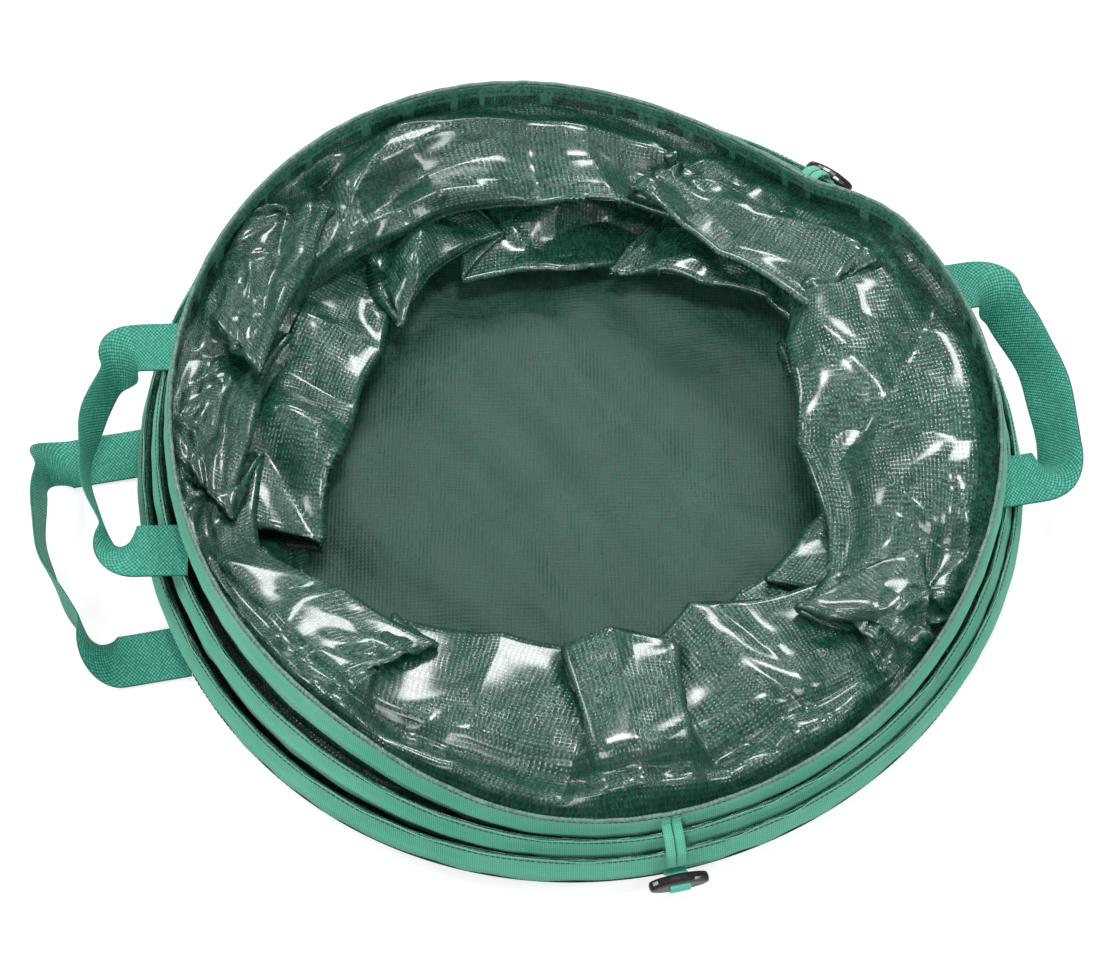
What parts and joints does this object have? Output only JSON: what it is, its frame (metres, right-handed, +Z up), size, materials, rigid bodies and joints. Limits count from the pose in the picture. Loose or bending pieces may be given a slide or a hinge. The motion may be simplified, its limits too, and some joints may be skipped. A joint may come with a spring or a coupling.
{
  "type": "pop up leaf bag",
  "caption": "Round pop up garden leaf bag on a coiled spring wire, shown collapsed and held by toggles, with two carry handles and a tipping handle.",
  "frame": {"origin": "centre of the floor panel's underside, on the ground", "axes": "+Z up through the mouth, -Y toward the front closure, -X toward the pair of left handles"},
  "size_m": [0.7158, 0.6072, 0.1088],
  "materials": {
    "laminated_wall": "glossy laminated woven polypropylene, dark green",
    "floor_cloth": "coated woven polypropylene, dull dark green",
    "oxford_band": "600 denier polyester Oxford, mid green",
    "webbing": "coarse woven polypropylene webbing, bright teal green",
    "spring_steel": "drawn spring steel wire",
    "black_plastic": "moulded black plastic"
  },
  "bodies": {
    "base": {"floor_panel": "floor_cloth", "floor_seam_binding": "laminated_wall", "bottom_sleeve": "oxford_band", "bottom_facing": "laminated_wall", "spring_turn_bottom": "spring_steel", "spring_end_cap_bottom": "black_plastic", "spring_ramp_lower": "spring_steel", "wall_lower": "laminated_wall", "tipping_handle_tab_a": "webbing", "tipping_handle_tab_b": "webbing", "toggle_tab_front": "webbing", "toggle_tab_back": "webbing"},
    "middle_turn": {"middle_sleeve": "oxford_band", "middle_facing": "laminated_wall", "spring_turn_middle": "spring_steel", "spring_ramp_upper": "spring_steel", "wall_upper": "laminated_wall"},
    "rim": {"top_sleeve": "oxford_band", "top_facing": "laminated_wall", "rim_hem": "oxford_band", "spring_turn_top": "spring_steel", "spring_end_cap_top": "black_plastic", "closure_anchor_front": "oxford_band", "closure_anchor_back": "oxford_band", "carry_handle_left_tab_a": "webbing", "carry_handle_left_tab_b": "webbing", "carry_handle_right_tab_a": "webbing", "carry_handle_right_tab_b": "webbing"},
    "left_carry_handle": {"carry_handle_left": "webbing"},
    "right_carry_handle": {"carry_handle_right": "webbing"},
    "foot_handle": {"tipping_handle": "webbing"},
    "front_loop": {"closure_loop_front": "oxford_band"},
    "back_loop": {"closure_loop_back": "oxford_band"},
    "front_toggle": {"toggle_front": "black_plastic", "toggle_eye_front": "webbing"},
    "back_toggle": {"toggle_back": "black_plastic", "toggle_eye_back": "webbing"}
  },
  "joints": [
    {"name": "lower_turn_rise", "type": "slide", "parent": "base", "child": "middle_turn", "axis": [0, 0, 1], "range_m": [0, 0.205], "deforming": ["wall_lower", "spring_ramp_lower"]},
    {"name": "upper_turn_rise", "type": "slide", "parent": "middle_turn", "child": "rim", "axis": [0, 0, 1], "range_m": [0, 0.205], "deforming": ["wall_upper", "spring_ramp_upper"]},
    {"name": "carry_handle_left_swing", "type": "hinge", "parent": "rim", "child": "left_carry_handle", "pos_m": [-0.27245, -0.00951, 0.06733], "axis": [-0.0349, 0.9994, 0], "range_deg": [0, 80]},
    {"name": "carry_handle_right_swing", "type": "hinge", "parent": "rim", "child": "right_carry_handle", "pos_m": [0.27615, 0.05118, 0.05433], "axis": [0.1822, -0.9833, 0], "range_deg": [0, 80]},
    {"name": "tipping_handle_swing", "type": "hinge", "parent": "base", "child": "foot_handle", "pos_m": [-0.28304, -0.05502, 0.0026], "axis": [-0.1908, 0.9816, 0], "range_deg": [0, 25]},
    {"name": "front_loop_release", "type": "hinge", "parent": "rim", "child": "front_loop", "pos_m": [0.06073, -0.28571, 0.05084], "axis": [-0.9781, -0.2079, 0], "range_deg": [0, 100]},
    {"name": "back_loop_release", "type": "hinge", "parent": "rim", "child": "back_loop", "pos_m": [0.16712, 0.22178, 0.05103], "axis": [0.7986, -0.6018, 0], "range_deg": [0, 100]},
    {"name": "front_toggle_turn", "type": "hinge", "parent": "base", "child": "front_toggle", "pos_m": [0.06426, -0.30232, 0.02], "axis": [0.2079, -0.9781, 0], "range_deg": [-90, 90]},
    {"name": "back_toggle_turn", "type": "hinge", "parent": "base", "child": "back_toggle", "pos_m": [0.18094, 0.24012, 0.02], "axis": [0.6018, 0.7986, 0], "range_deg": [-90, 90]}
  ],
  "couplings": [
    {"joint": "upper_turn_rise", "follows": "lower_turn_rise", "ratio": 1}
  ]
}
